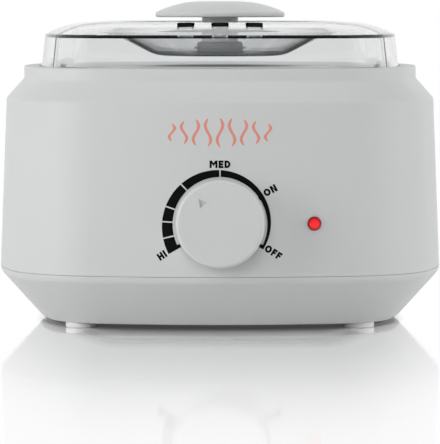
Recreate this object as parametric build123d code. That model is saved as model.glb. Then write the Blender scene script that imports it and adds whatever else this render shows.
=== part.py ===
from build123d import *
import os
from math import asin, atan2, cos, degrees, radians, sin, sqrt

# Hair-removal wax warmer: a squarish moulded housing on a base tray, a round heated well that
# holds a lift-out pot, a clear lid with a finger dish and a knob, and a dial on the front.
# Millimetres. +Z up, front towards -Y, origin on the table under the middle of the housing.

# ---------------------------------------------------------------- driving dimensions
# Housing outline: eight tangent arcs, four flat sides and four corners, all sections parallel
body_half = 92.5        # half-width at the widest line, above the base chamfer
side_bulge = 5.5        # how far the middle of a side stands proud of the corners' own reach
corner_radius = 46.0    # plan radius of a corner at the widest line
core_margin = 4.0       # corner radius left where the flat middle of a plate meets its swept border
shell_wall = 2.5        # housing and tray wall

# Housing heights and steps, from the table up
foot_height = 2.3       # table to the underside of the base
chamfer_run = 16.9      # how far the underside is inset from the widest line
chamfer_rise = 18.65     # underside to the widest line
chamfer_round = 4.0     # rounding of the widest line
underside_round = 1.0   # rounding of the underside's edge
seam_rise = 1.8         # widest line to the parting line
seam_gap = 0.15         # open groove at the parting line
wall_rise = 69.8        # parting line to the shoulder
wall_lean = 2.7         # how far the wall leans in from the widest line to the shoulder
shoulder_run = 7.4      # sloping shoulder, inwards
shoulder_rise = 8.4     # sloping shoulder, upwards
shoulder_round = 1.6    # rounding of the shoulder's outer edge
rim_hollow = 2.0        # hollow at the foot of the rim
rim_rise = 5.1          # upright rim above the shoulder
rim_round = 0.7         # rounding of the rim's edges
rim_land = 6.6          # flat top of the rim
recess_depth = 3.0      # rim top down to the ledge the lid stands on
deck_thickness = 2.5    # ledge and deck round the well

# Lap joint of the two mouldings
tongue_height = 2.6     # tray tongue above the parting line
leaf_thickness = 1.2    # outer leaf of the wall that covers the tongue
lap_clearance = 0.1

# Base screws, their bosses and the feet over them
foot_radius = 6.3
foot_edge_margin = 0.5  # foot edge to the edge of the underside, on the diagonal
foot_plug_length = 2.6  # plug that holds the foot in its screw recess
screw_shank_radius = 1.75
screw_head_radius = 3.4
screw_head_height = 2.4
screw_grip = 12.0       # shank length inside the housing boss
screw_tip_room = 1.0    # blind hole beyond the screw's tip
screw_recess_depth = 7.2   # underside to the seat of the screw head
boss_radius = 4.2       # housing boss
tray_boss_radius = 5.6
tray_boss_height = 11.8    # underside to the top of the tray boss
rib_thickness = 1.8     # web from a housing boss to the corner wall
thread_clearance = 0.05    # shank to its own cut thread, per side
hole_clearance = 0.2       # screw in a plain hole, per side

# Pot and the well that heats it
pot_wall = 1.0
pot_depth = 58.0        # top of the lip to the pot floor
pot_corner = 9.0        # inside rounding at the pot floor
lip_width = 2.8         # flat lip outside the pot wall
bead_radius = 0.8       # rolled edge of the lip
seat_clearance = 0.3    # a loose piece above what it rests on
well_gap = 0.6          # pot wall to well wall
well_wall = 1.0
well_flange_width = 2.0
well_hole_clearance = 0.4
gasket_thickness = 0.5
ring_width = 2.9        # spring ring that grips the well under the deck
ring_thickness = 1.2

# Heater band round the well
band_clearance = 0.1
band_thickness = 2.4
band_height = 26.0
band_rise = 8.0         # well underside to the lower edge of the band
band_split = 8.0        # gap between the clamp lugs
lug_reach = 8.0
lug_thickness = 2.0
lug_height = 10.0
clamp_screw_radius = 1.9
clamp_head_radius = 3.4
clamp_head_height = 2.4
clamp_nut_thickness = 2.8
clamp_screw_past = 4.0  # screw tip beyond the lug
tab_width = 5.0         # flat terminal tabs
tab_thickness = 0.8
tab_reach = 6.0
tab_rise = 4.0          # lower edge of the band to the tabs
heater_tab_angles = (-35.0, 20.0)

# Thermal fuse on the band
fuse_radius = 2.0
fuse_length = 12.0
fuse_stub = 3.0         # bare lead at each end
fuse_stub_radius = 0.5
clip_thickness = 0.5
clip_width = 5.0
clip_foot = 3.5

# Bail handle of the pot
bail_wire_radius = 1.0
bail_gap = 1.3          # lip edge to the wire
bail_side_clearance = 1.9   # end of a stud to the lid's foot
eye_radius = 1.9
eye_thickness = 1.6
stud_radius = 1.0
stud_head_radius = 1.6
stud_head_thickness = 0.5
turning_clearance = 0.05   # radial, a pin in the hole it turns in

# Lid
lid_wall = 2.0
lid_side_clearance = 0.4   # lid foot to the recess wall
lid_lean = 1.75         # how far the lid's side leans in
lid_side_rise = 15.8    # foot to where the side would meet the crown
lid_edge_round = 1.2
crown_rise = 5.3        # side's top edge to the flat crest
crown_run = 19.65       # side's top edge in to where the crown turns flat
crest_land = 2.7        # flat crest round the finger dish
dish_run = 25.0         # the dish's rim in to its floor
dish_depth = 12.5
dish_rim_round = 10.0
dish_floor_round = 15.0
screw_well_depth = 3.4   # raised seat under the stem, so that the screw's head is inside it
vent_width = 7.0
vent_spacing = 13.9
vent_margin = 2.5       # flat crest's edge to the near end of a vent
vent_length = 9.0
vent_round = 1.5

# Lid knob
cap_radius = 27.2
cap_flat_radius = 7.0
cap_crown_radius = 46.0
cap_height = 6.65       # underside to the top
cap_lift = 14.35        # dish floor to the cap's underside
cap_edge_round = 0.8
cap_wall = 2.4
cap_hollow = 1.4        # depth of the ring-shaped hollow in the underside
cap_socket_depth = 3.0  # how far the stem enters the cap
stem_radius = 7.6
collar_radius = 9.6
collar_height = 5.1
collar_round = 1.3
collar_flange_radius = 10.8
collar_flange_thickness = 0.7
collar_flange_rise = 2.1
lid_screw_radius = 2.0
lid_screw_head_radius = 3.8
lid_screw_head_height = 2.2
lid_screw_length = 12.0
washer_radius = 5.2
washer_thickness = 1.0

# Dial on the front
dial_height = 44.85     # knob axis above the table
panel_proud = 1.1       # flat pad inside the wall, proud of its inner face
panel_radius = 15.0
nut_seat_depth = 0.7
nut_seat_radius = 8.6
thermostat_width = 30.0
thermostat_height = 28.0
thermostat_depth = 15.0
bush_radius = 5.0
bush_length = 6.4       # pad face to the end of the bush
nut_across_flats = 14.0
nut_thickness = 2.5
spindle_radius = 3.0
spindle_depth = 9.0     # how far the spindle reaches into the thermostat
spindle_flat_depth = 1.0
knob_base_radius = 18.25
knob_face_radius = 17.5
knob_gap = 1.0          # wall to the back edge of the knob
knob_length = 14.0
knob_wall = 2.2
knob_front_thickness = 3.0
knob_face_round = 1.5
knob_hub_radius = 5.6
pointer_angle = 130.0   # where the pointer stands at rest, seen from the front
pointer_tip_radius = 13.2
pointer_length = 3.2
pointer_width = 3.7
pointer_depth = 0.6
thermostat_tab_length = 6.0
thermostat_tab_depth = 10.0   # pad face to the tabs

# Indicator lamp beside the dial
lamp_x = 37.8
lamp_height = 44.15
lens_radius = 2.75
lens_flange_radius = 4.1
lens_flange_thickness = 1.0
lens_proud = 0.7        # straight part outside the wall
lens_dome = 0.9
lamp_boss_radius = 6.0
lamp_boss_reach = 11.0  # outer wall face to the end of the boss
lens_seat_depth = 4.0   # outer wall face to the flange of the lens
holder_length = 15.0
bulb_radius = 2.2
bulb_length = 11.0
bulb_lead_x = 1.2       # from the lamp's axis to each lead
bulb_stub_radius = 0.4
bulb_stub_reach = 1.0   # beyond the holder
small_clearance = 0.1

# Cable gland at the rear, for the mains cord
gland_height = 36.85
gland_pad_proud = 0.7
gland_pad_radius = 10.5
gland_thread_radius = 6.1
gland_across_flats = 15.0
gland_hex_thickness = 4.6
gland_inner_reach = 9.5
gland_outer_reach = 5.4 # thread outside the hexagon
gland_bore_radius = 3.6
seal_radius = 5.0
seal_bore_radius = 3.3
seal_length = 5.0
dome_length = 9.0
dome_mouth_radius = 4.6
dome_round = 3.0
dome_mouth_round = 0.4
dome_cone = 1.0         # height of the cone that presses on the seal
locknut_across_flats = 18.0
locknut_thickness = 3.2

# Heat shield under the well
shield_inset = 8.4      # well wall in to the edge of the shield
shield_thickness = 0.8
shield_lip = 3.5
shield_bend = 1.2       # inside of the lip's bend
shield_height = 28.0    # table to the underside of the shield
post_margin = 7.0       # edge of the shield to a post's axis, on the diagonal
post_radius = 3.6
shield_screw_radius = 1.4
shield_screw_head_radius = 2.9
shield_screw_head_height = 1.8
shield_screw_length = 9.0

# Terminal block on the tray floor
block_width = 34.0
block_depth = 14.0
block_height = 12.0
block_setback = 30.5    # widest line in to the middle of the block
block_pad_height = 4.0
block_pad_margin = 1.0  # pad beyond the block on every side
way_pitch = 9.0         # between the three ways, and from the middle to each thermostat tab
way_radius = 1.9
way_bite = 3.0          # how far a lead enters its way
block_screw_x = 13.5
block_screw_radius = 1.3
block_screw_head_radius = 2.6
block_screw_head_height = 1.6
block_screw_bite = 5.0  # screw tip below the top of the pad

# Leads
lead_radius = 1.2
lamp_lead_radius = 0.8
lead_bend = 5.0
lamp_lead_rise = 4.7    # lamp leads above the other leads
lead_end_gap = 0.2      # end of a lead to its tab
fuse_lead_rise = 7.0    # the bend above the fuse

# ---------------------------------------------------------------- levels and sections
base_z = foot_height
widest_z = base_z + chamfer_rise
seam_z = widest_z + seam_rise
shoulder_z = seam_z + wall_rise
rim_foot_z = shoulder_z + shoulder_rise
rim_top_z = rim_foot_z + rim_rise
ledge_z = rim_top_z - recess_depth
deck_under_z = ledge_z - deck_thickness

base_half = body_half - chamfer_run
shoulder_half = body_half - wall_lean
rim_half = shoulder_half - shoulder_run
recess_half = rim_half - rim_land
core_half = body_half - corner_radius + core_margin

corner_centre = body_half - side_bulge - corner_radius
side_radius = (corner_centre**2 + (body_half - corner_centre)**2 - corner_radius**2) / (2 * side_bulge)
side_centre = body_half - side_radius
side_turn = degrees(atan2(corner_centre, corner_centre - side_centre))

foot_diagonal = corner_centre * sqrt(2) + corner_radius - chamfer_run - foot_edge_margin - foot_radius
foot_x = foot_diagonal / sqrt(2)
foot_places = [(sx * foot_x, sy * foot_x) for sx in (-1, 1) for sy in (-1, 1)]
screw_seat_z = base_z + screw_recess_depth
tray_boss_z = base_z + tray_boss_height

lid_foot_z = ledge_z + seat_clearance
lid_foot_half = recess_half - lid_side_clearance
stud_end_x = lid_foot_half - lid_wall - bail_side_clearance
stud_head_x = stud_end_x - stud_head_thickness
bail_radius = stud_head_x - small_clearance - max(eye_thickness / 2, bail_wire_radius)
lip_outer = bail_radius - bail_wire_radius - bail_gap
pot_outer = lip_outer - lip_width
pot_radius = pot_outer - pot_wall
well_radius = pot_outer + well_gap
well_outer = well_radius + well_wall
deck_hole = well_outer + well_hole_clearance
well_flange_outer = well_outer + well_flange_width
flange_under_z = ledge_z + gasket_thickness
flange_top_z = flange_under_z + well_wall
lip_under_z = flange_top_z + seat_clearance + bead_radius - pot_wall / 2
lip_top_z = lip_under_z + pot_wall
pot_floor_z = lip_top_z - pot_depth
pot_under_z = pot_floor_z - pot_wall
well_floor_z = pot_under_z - seat_clearance
well_under_z = well_floor_z - well_wall

band_inner = well_outer + band_clearance
band_outer = band_inner + band_thickness
band_z = well_under_z + band_rise
lug_z = band_z + (band_height - lug_height) / 2
tab_z = band_z + tab_rise
tab_end = band_outer + tab_reach

pivot_z = flange_top_z + seat_clearance + stud_radius
bail_rest_z = ledge_z + seat_clearance + bail_wire_radius
bail_droop = degrees(asin((pivot_z - bail_rest_z) / bail_radius))

lid_edge_half = lid_foot_half - lid_lean
lid_edge_z = lid_foot_z + lid_side_rise
crest_z = lid_edge_z + crown_rise
crest_half = lid_edge_half - crown_run
lid_core_half = (crest_half + body_half - corner_radius) / 2
dish_radius = crest_half - crest_land
dish_floor_radius = dish_radius - dish_run
vent_middle = crest_half + vent_margin + vent_length / 2
dish_floor_z = crest_z - dish_depth
dish_under_z = dish_floor_z - lid_wall
seat_z = dish_floor_z + screw_well_depth
seat_under_z = seat_z - lid_wall
cap_under_z = dish_floor_z + cap_lift
collar_top_z = dish_floor_z + collar_height

front_half = body_half - wall_lean * (dial_height - widest_z) / (shoulder_z - widest_z)
panel_face = front_half - shell_wall - panel_proud
nut_seat = front_half - nut_seat_depth
bush_end = panel_face + bush_length
knob_back = front_half + knob_gap
knob_face = knob_back + knob_length
knob_recess = knob_face - knob_front_thickness
spindle_end = knob_recess - hole_clearance

rear_half = body_half - wall_lean * (gland_height - widest_z) / (shoulder_z - widest_z)
gland_seat = rear_half + gland_pad_proud
gland_inner_face = rear_half - shell_wall - panel_proud
gland_hex_end = gland_seat + gland_hex_thickness
gland_thread_end = gland_hex_end + gland_outer_reach

floor_z = base_z + shell_wall
block_y = body_half - block_setback
block_z = floor_z + block_pad_height
block_front = block_y - block_depth / 2
way_z = block_z + block_height / 2

tab_y = -(panel_face - thermostat_tab_depth)
tab_low = dial_height - thermostat_height / 2 - thermostat_tab_length
screw_length = tray_boss_z - screw_seat_z + screw_grip
shield_radius = well_outer - shield_inset
post_offset = (shield_radius - post_margin) / sqrt(2)
post_places = [(sx * post_offset, sy * post_offset) for sx in (-1, 1) for sy in (-1, 1)]
shield_screw_tip = shield_height + shield_thickness - shield_screw_length
fuse_place = (band_outer + fuse_radius + turning_clearance, band_z + (band_height - fuse_length) / 2)


# ---------------------------------------------------------------- helpers
def wall_half(z):
    """Half-width of the leaning outer wall at a height."""
    return body_half - wall_lean * (z - widest_z) / (shoulder_z - widest_z)


def wall_reach(x, z):
    """How far a side wall stands from the middle plane at a distance x along it."""
    return sqrt((side_radius - body_half + wall_half(z))**2 - x**2) + side_centre


def section(points):
    """Closed profile through corner points; a third number rounds that corner."""
    face = make_face(Polyline([p[:2] for p in points], close=True))
    for point in points:
        if len(point) == 3:
            corner = face.vertices().sort_by_distance((point[0], point[1], 0))[0]
            face = fillet(corner, point[2])
    return face


def turned(points):
    """Solid turned about Z from a profile of (radius, height) corners."""
    return revolve(Plane.XZ * section(points), Axis.Z)


def tube(inner, outer, low, high):
    """Plain ring about Z."""
    return turned([(inner, low), (outer, low), (outer, high), (inner, high)])


def rod(start, end, radius):
    """Cylinder between two points."""
    way = Vector(*end) - Vector(*start)
    return Part() + Solid.make_cylinder(radius, way.length, Plane(origin=start, z_dir=way))


def block(low, high):
    """Box between two opposite corners."""
    size = [b - a for a, b in zip(low, high)]
    return Pos(*low) * Box(*size, align=(Align.MIN, Align.MIN, Align.MIN))


def hexagon(across_flats, low, high):
    """Hexagonal prism about Z."""
    return Pos(0, 0, low) * extrude(RegularPolygon(across_flats / 2, 6, major_radius=False), high - low)


def plan_arcs():
    """The outline's arcs: centre, radius, start angle and sweep, anticlockwise from the right side."""
    arcs = []
    for quarter in range(4):
        turn = radians(90 * quarter)
        side = (side_centre * cos(turn), side_centre * sin(turn))
        corner = (corner_centre * (cos(turn) - sin(turn)), corner_centre * (sin(turn) + cos(turn)))
        arcs.append((side, side_radius, 90 * quarter - side_turn, 2 * side_turn))
        arcs.append((corner, corner_radius, 90 * quarter + side_turn, 90 - 2 * side_turn))
    return arcs


def plan(half):
    """The outline as a face, with its sides at this half-width."""
    inset = body_half - half
    arcs = [CenterArc(centre, radius - inset, start, sweep) for centre, radius, start, sweep in plan_arcs()]
    return make_face(Curve() + arcs)


def slab(half, low, high):
    """The outline at this half-width as a plate."""
    return Pos(0, 0, low) * extrude(plan(half), high - low)


def around(profile):
    """Sweep a profile of (half-width, height) round the outline, one turned sector for each arc."""
    sectors = []
    for (x, y), radius, start, sweep in plan_arcs():
        out = (cos(radians(start)), sin(radians(start)), 0)
        shift = radius - body_half
        place = Plane(
            origin=(x + shift * out[0], y + shift * out[1], 0), x_dir=out, z_dir=(out[1], -out[0], 0))
        sectors.append(revolve(place * profile, Axis((x, y, 0), (0, 0, 1)), sweep))
    return Part() + sectors


def inner_corner(before, corner, after, depth):
    """The corner moved inwards by a wall's depth, with the outline running anticlockwise."""
    way_in = Vector(corner[0] - before[0], corner[1] - before[1]).normalized()
    way_out = Vector(after[0] - corner[0], after[1] - corner[1]).normalized()
    left_in = Vector(-way_in.Y, way_in.X)
    left_out = Vector(-way_out.Y, way_out.X)
    mitre = (left_in + left_out) / (1 + left_in.dot(left_out)) * depth
    return corner[0] + mitre.X, corner[1] + mitre.Y


def lead(points, radius):
    """Insulated wire: straight runs joined by tangent bends."""
    path = FilletPolyline(*points, radius=lead_bend)
    start = Plane(origin=path @ 0, z_dir=path % 0)
    return sweep(start * Circle(radius), path)


front = Plane(origin=(0, 0, dial_height), x_dir=(1, 0, 0), z_dir=(0, -1, 0))
lamp_place = Plane(origin=(lamp_x, 0, lamp_height), x_dir=(1, 0, 0), z_dir=(0, -1, 0))
rear = Plane(origin=(0, 0, gland_height), x_dir=(-1, 0, 0), z_dir=(0, 1, 0))


lens_face = wall_reach(lamp_x, lamp_height)
lens_seat = lens_face - lens_seat_depth
lamp_boss_end = lens_face - lamp_boss_reach
lamp_lead_start = lens_seat - lens_flange_thickness - holder_length - bulb_stub_reach


# ---------------------------------------------------------------- housing mouldings
def inside_of_housing(low):
    """The hollow of the housing, and half the wall's thickness round it, for webs to run into."""
    depth = shell_wall / 2
    start = (wall_half(low), low)
    inner = inner_corner(start, (shoulder_half, shoulder_z), (rim_half, rim_foot_z), depth)
    climb = (deck_under_z - inner[1]) / shoulder_rise
    ring = around(section([
        (core_half, low),
        (start[0] - depth, low),
        inner,
        (inner[0] - climb * shoulder_run, deck_under_z),
        (core_half, deck_under_z)]))
    return ring + slab(core_half, low, deck_under_z)


def upper_housing():
    """Outer shell with shoulder, rim, lid recess and deck, and the bosses inside it."""
    start_z = seam_z + seam_gap
    tongue_top = seam_z + tongue_height + lap_clearance
    foot = (wall_half(start_z), start_z)
    shoulder = (shoulder_half, shoulder_z)
    rim_foot = (rim_half, rim_foot_z)
    inner_shoulder = inner_corner(foot, shoulder, rim_foot, shell_wall)
    climb = (deck_under_z - inner_shoulder[1]) / shoulder_rise
    shell = around(section([
        foot,
        (*shoulder, shoulder_round),
        (*rim_foot, rim_hollow),
        (rim_half, rim_top_z, rim_round),
        (recess_half, rim_top_z, rim_round),
        (recess_half, ledge_z),
        (core_half, ledge_z),
        (core_half, deck_under_z),
        (inner_shoulder[0] - climb * shoulder_run, deck_under_z),
        inner_shoulder,
        (wall_half(tongue_top) - shell_wall, tongue_top),
        (wall_half(tongue_top) - leaf_thickness, tongue_top),
        (foot[0] - leaf_thickness, start_z)]))
    shell += slab(core_half, deck_under_z, ledge_z)

    boss_z = tray_boss_z + seat_clearance
    webs = []
    for x, y in foot_places:
        web = Box(foot_diagonal, rib_thickness, deck_under_z - tongue_top,
                  align=(Align.MIN, Align.CENTER, Align.MIN))
        webs.append(Pos(x, y, tongue_top) * Rot(0, 0, degrees(atan2(y, x))) * web)
        shell += rod((x, y, boss_z), (x, y, ledge_z - deck_thickness / 2), boss_radius)
    shell += (Part() + webs) & inside_of_housing(tongue_top)
    for x, y in foot_places:
        tip = screw_seat_z + screw_length + screw_tip_room
        shell -= rod((x, y, 0), (x, y, tip), screw_shank_radius + thread_clearance)

    wall_middle = front_half - shell_wall / 2
    shell += front * rod((0, 0, panel_face), (0, 0, wall_middle), panel_radius)
    shell -= front * rod((0, 0, nut_seat), (0, 0, body_half + 1), nut_seat_radius)
    shell -= front * rod((0, 0, panel_face - 1), (0, 0, body_half), bush_radius + hole_clearance)

    shell += lamp_place * rod((0, 0, lamp_boss_end), (0, 0, lens_face - shell_wall / 2), lamp_boss_radius)
    socket = lens_flange_radius + small_clearance
    shell -= lamp_place * rod((0, 0, lamp_boss_end - 1), (0, 0, lens_seat), socket)
    shell -= lamp_place * rod((0, 0, lens_seat - 1), (0, 0, body_half), lens_radius + small_clearance)

    shell += rear * rod((0, 0, gland_inner_face), (0, 0, gland_seat), gland_pad_radius)
    hole = gland_thread_radius + hole_clearance
    shell -= rear * rod((0, 0, gland_inner_face - 1), (0, 0, gland_seat + 1), hole)
    shell -= rod((0, 0, deck_under_z - 1), (0, 0, ledge_z + 1), deck_hole)
    return shell


def base_tray():
    """Chamfered tray that closes the housing from below, with its tongue, bosses, posts and pad."""
    seam = (wall_half(seam_z), seam_z)
    widest = (body_half, widest_z)
    underside = (base_half, base_z)
    core = (core_half, base_z)
    inner_widest = inner_corner(underside, widest, seam, shell_wall)
    inner_base = inner_corner(core, underside, widest, shell_wall)
    tongue_outer = seam[0] - leaf_thickness - lap_clearance
    tray = around(section([
        core,
        (*underside, underside_round),
        (*widest, chamfer_round),
        seam,
        (tongue_outer, seam_z),
        (tongue_outer, seam_z + tongue_height),
        (seam[0] - shell_wall, seam_z + tongue_height),
        inner_widest,
        inner_base,
        (core_half, floor_z)]))
    tray += slab(core_half, base_z, floor_z)
    for x, y in foot_places:
        tray += rod((x, y, base_z + shell_wall / 2), (x, y, tray_boss_z), tray_boss_radius)
        tray -= rod((x, y, 0), (x, y, screw_seat_z), screw_head_radius + hole_clearance)
        tray -= rod((x, y, 0), (x, y, tray_boss_z + 1), screw_shank_radius + hole_clearance)
    for x, y in post_places:
        tray += rod((x, y, base_z + shell_wall / 2), (x, y, shield_height), post_radius)
        pilot = shield_screw_radius + thread_clearance
        tray -= rod((x, y, shield_screw_tip - 1), (x, y, shield_height + 1), pilot)
    pad = block_width / 2 + block_pad_margin
    tray += block((-pad, block_front - block_pad_margin, floor_z - shell_wall / 2),
                  (pad, block_front + block_depth + block_pad_margin, block_z))
    for side in (-1, 1):
        x = side * block_screw_x
        tray -= rod((x, block_y, block_z - block_screw_bite - 0.5), (x, block_y, block_z + 1),
                    block_screw_radius + thread_clearance)
    return tray


def feet():
    """Four soft feet, each with a plug that fills its screw recess."""
    plug = screw_head_radius + hole_clearance - lap_clearance
    return Part() + [
        Pos(x, y, 0) * turned([
            (0, 0), (foot_radius, 0, 0.6), (foot_radius, base_z), (plug, base_z),
            (plug, base_z + foot_plug_length), (0, base_z + foot_plug_length)])
        for x, y in foot_places]


def pan_screw(head_radius, head_height, shank_radius, shank_length):
    """Pan-head screw along Z, its seat at height 0, head above and shank below, with a cross recess."""
    screw = turned([
        (0, -shank_length), (shank_radius, -shank_length, shank_radius / 2), (shank_radius, 0),
        (head_radius, 0), (head_radius, head_height, head_height / 2), (0, head_height)])
    slot = Box(head_radius * 1.1, head_radius * 0.28, head_height)
    cross = Pos(0, 0, head_height * 0.95) * (slot + Rot(0, 0, 90) * slot)
    return screw - cross


def base_screws():
    """Four screws that hold the tray to the housing from below."""
    screw = Rot(180, 0, 0) * pan_screw(screw_head_radius, screw_head_height, screw_shank_radius, screw_length)
    return Part() + [Pos(x, y, screw_seat_z) * screw for x, y in foot_places]


# ---------------------------------------------------------------- well, heater and pot
def bowl(radius, wall, floor, top, corner, flange_outer, neck_round):
    """Round drawn bowl with a flat flange; radius, floor and corner are those of its inside."""
    under = floor - wall
    return turned([
        (0, under), (radius + wall, under, corner + wall), (radius + wall, top - wall, neck_round),
        (flange_outer, top - wall), (flange_outer, top), (radius, top, neck_round + wall),
        (radius, floor, corner), (0, floor)])


def heating_well():
    """Aluminium well that hangs by its flange in the deck."""
    return bowl(well_radius, well_wall, well_floor_z, flange_top_z, pot_corner, well_flange_outer,
                well_hole_clearance - small_clearance)


def well_gasket():
    """Flat seal between the well's flange and the deck."""
    return tube(deck_hole, well_flange_outer, ledge_z, flange_under_z)


def retaining_ring():
    """Spring ring that grips the well and holds it up against the deck."""
    inner = well_outer + turning_clearance
    return tube(inner, inner + ring_width, deck_under_z - ring_thickness, deck_under_z)


def band_heater():
    """Clamped heater band round the well, with its lugs and two terminal tabs."""
    band = tube(band_inner, band_outer, band_z, band_z + band_height)
    gap = band_split / 2
    band -= block((-gap, 0, band_z - 1), (gap, band_outer + 1, band_z + band_height + 1))
    for side in (-1, 1):
        inner, outer = sorted((side * gap, side * (gap + lug_thickness)))
        lug = block((inner, band_inner + 1, lug_z), (outer, band_outer + lug_reach, lug_z + lug_height))
        band += lug
    screw_y = band_outer + lug_reach / 2
    screw_z = lug_z + lug_height / 2
    band -= rod((-gap - lug_thickness - 1, screw_y, screw_z), (gap + lug_thickness + 1, screw_y, screw_z),
                clamp_screw_radius + small_clearance)
    for angle in heater_tab_angles:
        tab = block((band_outer - 1, -tab_width / 2, tab_z), (tab_end, tab_width / 2, tab_z + tab_thickness))
        band += Rot(0, 0, angle) * tab
    return band


def heater_clamp():
    """Screw and nut that draw the band tight."""
    place = Pos(0, band_outer + lug_reach / 2, lug_z + lug_height / 2) * Rot(0, 90, 0)
    reach = band_split / 2 + lug_thickness
    length = 2 * reach + clamp_screw_past
    screw = Pos(0, 0, reach) * pan_screw(clamp_head_radius, clamp_head_height, clamp_screw_radius, length)
    nut = hexagon(2 * clamp_head_radius, -reach - clamp_nut_thickness, -reach)
    nut -= rod((0, 0, -reach - clamp_nut_thickness - 1), (0, 0, 0), clamp_screw_radius + thread_clearance)
    return place * (Part() + [screw, nut])


def thermal_fuse():
    """Axial fuse standing against the band, a short stub of lead at each end."""
    x, z = fuse_place
    body = rod((x, 0, z), (x, 0, z + fuse_length), fuse_radius)
    stub = rod((x, 0, z - fuse_stub), (x, 0, z + fuse_length + fuse_stub), fuse_stub_radius)
    return body + stub


def fuse_clip():
    """Spring clip that holds the fuse against the band."""
    x, z = fuse_place
    low = z + (fuse_length - clip_width) / 2
    outer = fuse_radius + turning_clearance + clip_thickness
    foot_x0 = band_outer + turning_clearance
    clip = Pos(x, 0, low) * Cylinder(outer, clip_width, align=(Align.CENTER, Align.CENTER, Align.MIN))
    clip += block((foot_x0, -outer - clip_foot, low),
                  (foot_x0 + clip_thickness, outer + clip_foot, low + clip_width))
    clip -= rod((x, 0, low - 1), (x, 0, low + clip_width + 1), fuse_radius + turning_clearance)
    clip -= block((0, -fuse_radius, low - 1), (x, fuse_radius, low + clip_width + 1))
    return clip - rod((0, 0, low - 1), (0, 0, low + clip_width + 1), foot_x0)


def heat_shield():
    """Dished sheet that keeps the well's heat off the tray, on four posts."""
    top = shield_height + shield_thickness
    shield = turned([
        (0, shield_height), (shield_radius, shield_height, shield_bend + shield_thickness),
        (shield_radius, top + shield_lip), (shield_radius - shield_thickness, top + shield_lip),
        (shield_radius - shield_thickness, top, shield_bend), (0, top)])
    for x, y in post_places:
        shield -= rod((x, y, 0), (x, y, top + 1), shield_screw_radius + hole_clearance)
    return shield


def shield_screws():
    """Four screws that hold the shield on its posts."""
    screw = pan_screw(shield_screw_head_radius, shield_screw_head_height, shield_screw_radius,
                      shield_screw_length)
    return Part() + [Pos(x, y, shield_height + shield_thickness) * screw for x, y in post_places]


def wax_pot():
    """Lift-out aluminium pot with a flat lip and a rolled edge."""
    pot = bowl(pot_radius, pot_wall, pot_floor_z, lip_top_z, pot_corner, lip_outer - bead_radius, pot_wall)
    bead_z = lip_top_z - pot_wall / 2
    return pot + revolve(Plane.XZ * Pos(lip_outer - bead_radius, bead_z) * Circle(bead_radius), Axis.Z)


def bail_studs(pot):
    """Two headed studs on the pot's lip for the bail to turn on."""
    start = lip_outer - bead_radius
    stud = rod((start, 0, pivot_z), (stud_head_x, 0, pivot_z), stud_radius)
    stud += rod((stud_head_x, 0, pivot_z), (stud_end_x, 0, pivot_z), stud_head_radius)
    return Part() + [stud - pot, mirror(stud, Plane.YZ) - pot]


def bail():
    """Wire handle lying round the back of the pot, with a flattened eye at each end."""
    ring = revolve(Plane.XZ * Pos(bail_radius, 0) * Circle(bail_wire_radius), Axis.Z, 180)
    ring = Pos(0, 0, pivot_z) * Rot(-bail_droop, 0, 0) * ring
    half = eye_thickness / 2
    eye = rod((bail_radius - half, 0, pivot_z), (bail_radius + half, 0, pivot_z), eye_radius)
    handle = ring + eye + mirror(eye, Plane.YZ)
    reach = bail_radius + eye_thickness
    return handle - rod((-reach, 0, pivot_z), (reach, 0, pivot_z), stud_radius + turning_clearance)


# ---------------------------------------------------------------- lid
def lid_profile():
    """Cross-section of the lid outside its dish: foot, leaning side, crown and flat crest."""
    slope = lid_lean / lid_side_rise

    def outline(inner_half, low):
        """Everything under the outer surface, from this half-width outwards and this height up."""
        foot = (lid_foot_half + slope * (lid_foot_z - low), low)
        edge = (lid_edge_half, lid_edge_z)
        lines = [
            Line((inner_half, low), foot),
            Line(foot, edge),
            TangentArc(edge, (crest_half, crest_z), tangent=(1, 0), tangent_from_first=False),
            Line((crest_half, crest_z), (inner_half, crest_z)),
            Line((inner_half, crest_z), (inner_half, low))]
        face = make_face(Curve() + lines)
        corner = face.vertices().sort_by_distance((*edge, 0))[0]
        return fillet(corner, lid_edge_round)

    solid = outline(lid_core_half - lid_wall, lid_foot_z - lid_wall)
    hollow = offset(solid, -lid_wall, kind=Kind.INTERSECTION)
    return outline(lid_core_half, lid_foot_z) - hollow


def lid_shell():
    """Clear moulded lid: leaning sides, low crown, round finger dish and three vents at the front."""
    lid = around(lid_profile()) + slab(lid_core_half, crest_z - lid_wall, crest_z)
    lid -= rod((0, 0, crest_z - lid_wall - 1), (0, 0, crest_z + 1), crest_half)
    rim = (dish_radius, crest_z)
    floor = (dish_floor_radius, dish_floor_z)
    under_rim = inner_corner((crest_half, crest_z), rim, floor, lid_wall)
    under_floor = inner_corner(rim, floor, (0, dish_floor_z), lid_wall)
    well = stem_radius - lid_wall
    lid += turned([
        (0, seat_under_z), (well, seat_under_z), (well, dish_under_z),
        (*under_floor, dish_floor_round + lid_wall),
        (*under_rim, dish_rim_round - lid_wall),
        (crest_half, crest_z - lid_wall),
        (crest_half, crest_z),
        (*rim, dish_rim_round),
        (*floor, dish_floor_round),
        (stem_radius, dish_floor_z), (stem_radius, seat_z), (0, seat_z)])
    lid -= rod((0, 0, seat_under_z - 1), (0, 0, seat_z + 1), lid_screw_radius + hole_clearance)
    vent = extrude(RectangleRounded(vent_width, vent_length, vent_round), crest_z - dish_under_z)
    for place in (-1, 0, 1):
        lid -= Pos(place * vent_spacing, -vent_middle, dish_under_z) * vent
    return lid


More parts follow.
